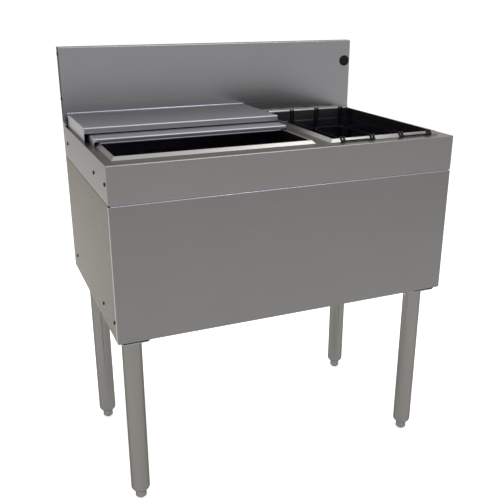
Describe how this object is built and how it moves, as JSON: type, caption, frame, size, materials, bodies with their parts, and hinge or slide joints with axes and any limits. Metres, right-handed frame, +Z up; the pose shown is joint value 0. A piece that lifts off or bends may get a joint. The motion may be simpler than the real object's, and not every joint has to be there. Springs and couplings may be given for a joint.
{
  "type": "underbar ice bin with bottle well",
  "caption": "Free-standing stainless underbar ice bin with an insulated bin under a sliding cover, a bottle well with hanging wire racks, a backsplash and legs with screw feet.",
  "frame": {"origin": "on the floor under the middle of the body", "axes": "+Z up, +Y back towards the backsplash and the wall, +X to the right as one stands in front of it"},
  "size_m": [0.765, 0.4826, 0.9398],
  "materials": {
    "stainless_sheet": "satin",
    "galvanised_sheet": "satin",
    "stainless_liner": "satin",
    "insulation_foam": "matte",
    "nickel_plated_brass": "polished",
    "black_rubber": "matte",
    "strainer_steel": "satin",
    "cover_sheet": "satin",
    "black_coated_wire": "satin",
    "black_plastic": "satin",
    "stainless_tube": "satin",
    "foot_steel": "satin",
    "zinc_plated_steel": "satin",
    "screw_steel": "satin"
  },
  "bodies": {
    "cabinet": {"work_top": "stainless_sheet", "backsplash": "stainless_sheet", "backsplash_cover": "stainless_sheet", "front_panel": "stainless_sheet", "left_side_panel": "stainless_sheet", "right_side_panel": "stainless_sheet", "rear_panel": "stainless_sheet", "bottom_pan": "galvanised_sheet", "ice_bin_liner": "stainless_liner", "ice_bin_foam": "insulation_foam", "bottle_well_liner": "stainless_liner", "ice_drain_body": "nickel_plated_brass", "ice_drain_gasket": "black_rubber", "ice_drain_locknut": "nickel_plated_brass", "well_drain_body": "nickel_plated_brass", "well_drain_gasket": "black_rubber", "well_drain_locknut": "nickel_plated_brass", "hose_hole_plug": "black_plastic", "left_leg_channel": "galvanised_sheet", "right_leg_channel": "galvanised_sheet", "front_left_spigot": "zinc_plated_steel", "front_right_spigot": "zinc_plated_steel", "rear_left_spigot": "zinc_plated_steel", "rear_right_spigot": "zinc_plated_steel", "front_left_leg": "stainless_tube", "front_right_leg": "stainless_tube", "rear_left_leg": "stainless_tube", "rear_right_leg": "stainless_tube", "front_left_socket": "stainless_tube", "front_right_socket": "stainless_tube", "rear_left_socket": "stainless_tube", "rear_right_socket": "stainless_tube", "side_screws": "screw_steel", "backsplash_screws": "screw_steel", "channel_bolts": "zinc_plated_steel", "channel_nuts": "zinc_plated_steel", "spigot_bolts": "zinc_plated_steel", "leg_set_screws": "zinc_plated_steel"},
    "rear_cover": {"rear_cover": "cover_sheet"},
    "front_cover": {"front_cover": "cover_sheet"},
    "left_rack": {"left_bottle_rack": "black_coated_wire"},
    "right_rack": {"right_bottle_rack": "black_coated_wire"},
    "ice_strainer": {"ice_drain_strainer": "strainer_steel"},
    "well_strainer": {"well_drain_strainer": "strainer_steel"},
    "front_left_foot": {"front_left_foot": "foot_steel"},
    "front_right_foot": {"front_right_foot": "foot_steel"},
    "rear_left_foot": {"rear_left_foot": "foot_steel"},
    "rear_right_foot": {"rear_right_foot": "foot_steel"}
  },
  "joints": [
    {"name": "rear_cover_lift", "type": "slide", "parent": "cabinet", "child": "rear_cover", "axis": [0, 0, 1], "range_m": [0, 0.15]},
    {"name": "front_cover_slide", "type": "slide", "parent": "cabinet", "child": "front_cover", "axis": [0, 1, 0], "range_m": [-0.1395, 0.04]},
    {"name": "left_rack_lift", "type": "slide", "parent": "cabinet", "child": "left_rack", "axis": [0, 0, 1], "range_m": [0, 0.25]},
    {"name": "right_rack_lift", "type": "slide", "parent": "cabinet", "child": "right_rack", "axis": [0, 0, 1], "range_m": [0, 0.25]},
    {"name": "ice_strainer_lift", "type": "slide", "parent": "cabinet", "child": "ice_strainer", "axis": [0, 0, 1], "range_m": [0, 0.03]},
    {"name": "well_strainer_lift", "type": "slide", "parent": "cabinet", "child": "well_strainer", "axis": [0, 0, 1], "range_m": [0, 0.03]},
    {"name": "front_left_foot_screw", "type": "slide", "parent": "cabinet", "child": "front_left_foot", "axis": [0, 0, 1], "range_m": [-0.025, 0.01]},
    {"name": "front_right_foot_screw", "type": "slide", "parent": "cabinet", "child": "front_right_foot", "axis": [0, 0, 1], "range_m": [-0.025, 0.01]},
    {"name": "rear_left_foot_screw", "type": "slide", "parent": "cabinet", "child": "rear_left_foot", "axis": [0, 0, 1], "range_m": [-0.025, 0.01]},
    {"name": "rear_right_foot_screw", "type": "slide", "parent": "cabinet", "child": "rear_right_foot", "axis": [0, 0, 1], "range_m": [-0.025, 0.01]}
  ]
}
